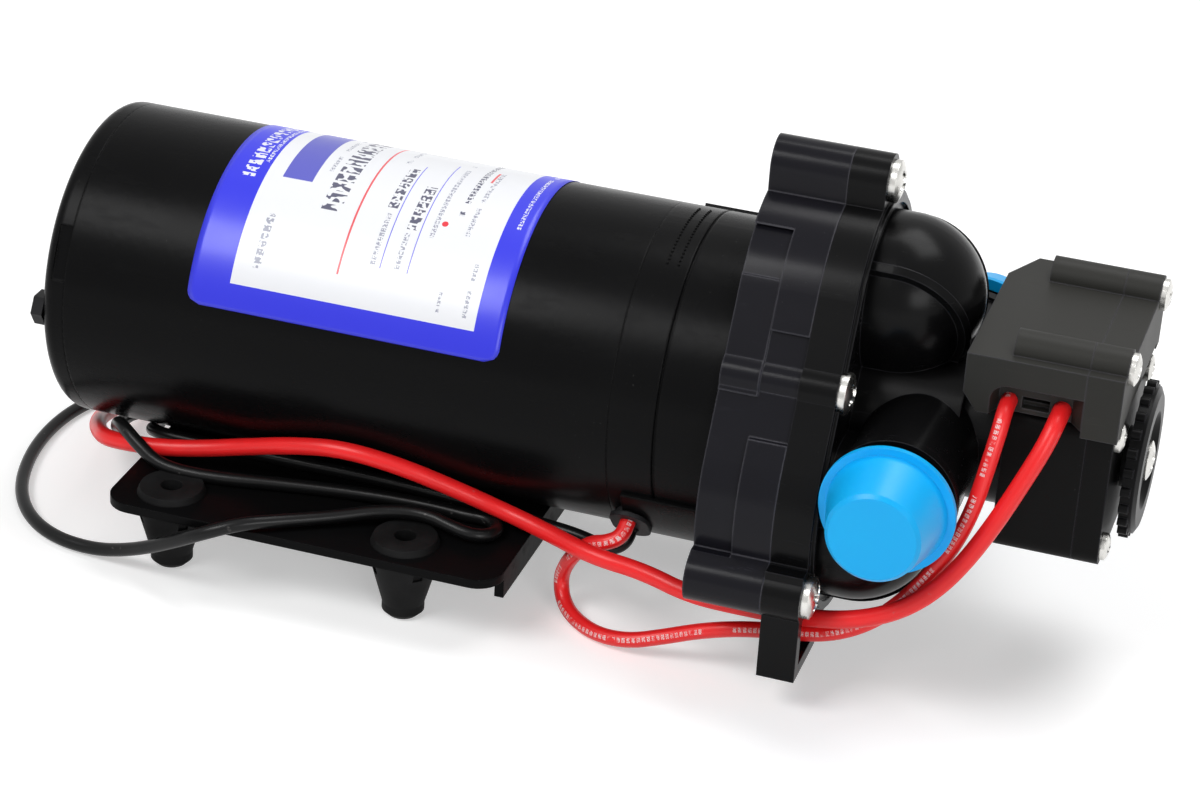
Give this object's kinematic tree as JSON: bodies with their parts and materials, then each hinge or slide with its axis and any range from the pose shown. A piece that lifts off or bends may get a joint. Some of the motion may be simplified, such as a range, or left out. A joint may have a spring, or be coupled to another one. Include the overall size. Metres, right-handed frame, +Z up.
{
  "type": "caravan water pump",
  "caption": "Self-priming diaphragm water pump for a caravan, with a motor on a rubber-footed plate, a domed pump head, a pressure switch, capped side ports and free leads.",
  "frame": {"origin": "centre of the four screw holes of the rubber feet, in the plane that the feet stand on", "axes": "+X along the motor from its rear end to the pump head, +Y across to the far port, +Z up"},
  "size_m": [0.2538, 0.111, 0.1072],
  "materials": {
    "motor_paint": "satin black paint on steel",
    "plate_paint": "gloss black paint on steel",
    "steel": "bright plated steel",
    "core_steel": "dark laminated steel",
    "magnet": "dark ferrite",
    "copper": "bare copper",
    "carbon": "graphite",
    "black_plastic": "semi-matt black moulded plastic",
    "housing_plastic": "satin dark grey moulded plastic",
    "blue_plastic": "smooth bright blue plastic",
    "seal_rubber": "soft black rubber",
    "foot_rubber": "matt black rubber",
    "red_insulation": "red wire insulation",
    "black_insulation": "black wire insulation"
  },
  "bodies": {
    "pump": {"motor_tube": "motor_paint", "rear_bell": "motor_paint", "front_cover": "motor_paint", "through_bolts": "steel", "magnets": "magnet", "brush_holder": "black_plastic", "brushes": "carbon", "brush_springs": "steel", "rear_bearing": "steel", "front_bearing": "steel", "cam_bearing": "steel", "wobble_plate": "black_plastic", "pistons": "black_plastic", "piston_screws": "steel", "diaphragm": "seal_rubber", "lower_housing": "housing_plastic", "valve_plate": "black_plastic", "inlet_valves": "seal_rubber", "outlet_valve": "seal_rubber", "housing_seal": "seal_rubber", "upper_housing": "black_plastic", "near_port_spigot": "black_plastic", "far_port_spigot": "black_plastic", "housing_screws": "steel", "check_valve_spring": "steel", "switch_base": "black_plastic", "switch_diaphragm": "seal_rubber", "switch_spring": "steel", "end_cover": "black_plastic", "end_cover_screws": "steel", "switch_box": "black_plastic", "switch_box_cover": "black_plastic", "switch_box_screws": "steel", "microswitch": "black_plastic", "base_plate": "plate_paint", "front_near_foot": "foot_rubber", "front_far_foot": "foot_rubber", "rear_near_foot": "foot_rubber", "rear_far_foot": "foot_rubber", "wire_grommet": "seal_rubber", "red_supply_lead": "red_insulation", "red_link_lead": "red_insulation", "black_motor_lead": "black_insulation", "bare_lead_ends": "copper"},
    "rotor": {"rotor_shaft": "steel", "armature_core": "core_steel", "armature_windings": "copper", "commutator": "copper", "drive_cam": "core_steel"},
    "near_cap": {"near_port_cap": "blue_plastic"},
    "far_cap": {"far_port_cap": "blue_plastic"},
    "adjuster": {"adjuster_cap": "black_plastic", "adjuster_screw": "steel"},
    "check_poppet": {"check_valve_poppet": "black_plastic"},
    "plunger": {"switch_plunger": "black_plastic"}
  },
  "joints": [
    {"name": "rotor_spin", "type": "hinge", "parent": "pump", "child": "rotor", "pos_m": [0, 0, 0.0496], "axis": [1, 0, 0], "continuous": true},
    {"name": "near_cap_pull", "type": "slide", "parent": "pump", "child": "near_cap", "axis": [0, -1, 0], "range_m": [0, 0.022]},
    {"name": "far_cap_pull", "type": "slide", "parent": "pump", "child": "far_cap", "axis": [0, 1, 0], "range_m": [0, 0.022]},
    {"name": "adjuster_turn", "type": "hinge", "parent": "pump", "child": "adjuster", "pos_m": [0.17, 0, 0.0496], "axis": [1, 0, 0], "range_deg": [-180, 180]},
    {"name": "check_valve_lift", "type": "slide", "parent": "pump", "child": "check_poppet", "axis": [1, 0, 0], "range_m": [0, 0.0025], "stiffness_N_per_m": 40, "springref_m": -0.003, "deforming": ["check_valve_spring"]},
    {"name": "switch_plunger_slide", "type": "slide", "parent": "pump", "child": "plunger", "axis": [1, 0, 0], "range_m": [0, 0.0008], "stiffness_N_per_m": 600, "springref_m": -0.004, "deforming": ["switch_spring"]}
  ]
}
